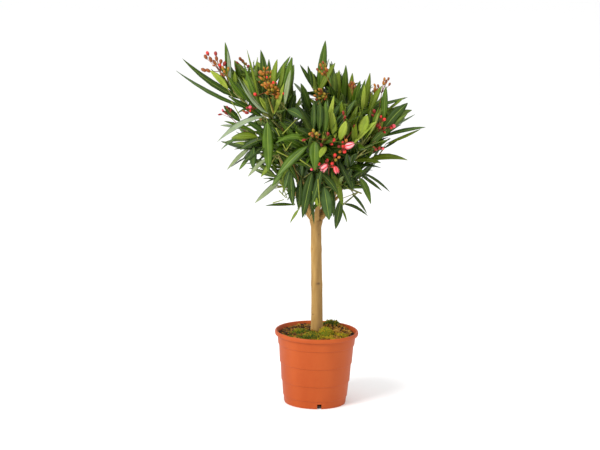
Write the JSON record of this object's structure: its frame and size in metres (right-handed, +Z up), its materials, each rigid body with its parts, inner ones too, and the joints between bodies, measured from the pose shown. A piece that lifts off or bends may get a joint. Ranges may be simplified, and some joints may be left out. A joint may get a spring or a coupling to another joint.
{
  "type": "potted oleander",
  "caption": "Oleander grown as a small standard: a bare stem with a wide, two-lobed crown of narrow leaves, buds and a little pink blossom, in a round plastic nursery pot.",
  "frame": {"origin": "middle of the pot's flat underside, on the surface that the pot stands on", "axes": "+Z up along the pot's axis, -Y the front seen in the picture, +X to the right in that view"},
  "size_m": [0.563, 0.4675, 0.827],
  "materials": {
    "plastic": "terracotta-orange moulded plastic with a soft sheen",
    "soil": "moist compost dressed with brown bark chips, matt",
    "moss": "green and yellow-green moss, matt",
    "bark": "smooth beige-tan bark, matt, with small scars",
    "foliage": "leathery leaves, deep green with a satin sheen above and paler below"
  },
  "bodies": {
    "root": {"pot": "plastic", "soil": "soil", "trunk": "bark", "moss_left": "moss", "moss_front": "moss", "moss_right": "moss", "moss_far_right": "moss", "moss_back": "moss", "bough_left_high": "bark", "bough_left_front": "bark", "bough_centre_front": "bark", "bough_right_far": "bark", "bough_back_right": "bark", "bough_back_left": "bark", "bough_centre_high": "bark", "bough_left_low": "bark", "bough_left_foot": "bark", "bough_left_low_front": "bark", "bough_left_back": "bark", "bough_centre_low": "bark", "bough_front_foot": "bark", "bough_right_front": "bark", "bough_right_high": "bark", "bough_right_side": "bark", "bough_right_low": "bark", "bough_back_centre": "bark", "bough_back_low": "bark", "bough_back_low_left": "bark", "bough_back_low_right": "bark", "foliage_left_high": "foliage", "foliage_left_front": "foliage", "foliage_centre_front": "foliage", "foliage_right_far": "foliage", "foliage_back_right": "foliage", "foliage_back_left": "foliage", "foliage_centre_high": "foliage", "foliage_left_low": "foliage", "foliage_left_foot": "foliage", "foliage_left_low_front": "foliage", "foliage_left_back": "foliage", "foliage_centre_low": "foliage", "foliage_front_foot": "foliage", "foliage_right_front": "foliage", "foliage_right_high": "foliage", "foliage_right_side": "foliage", "foliage_right_low": "foliage", "foliage_back_centre": "foliage", "foliage_back_low": "foliage", "foliage_back_low_left": "foliage", "foliage_back_low_right": "foliage"}
  },
  "joints": []
}
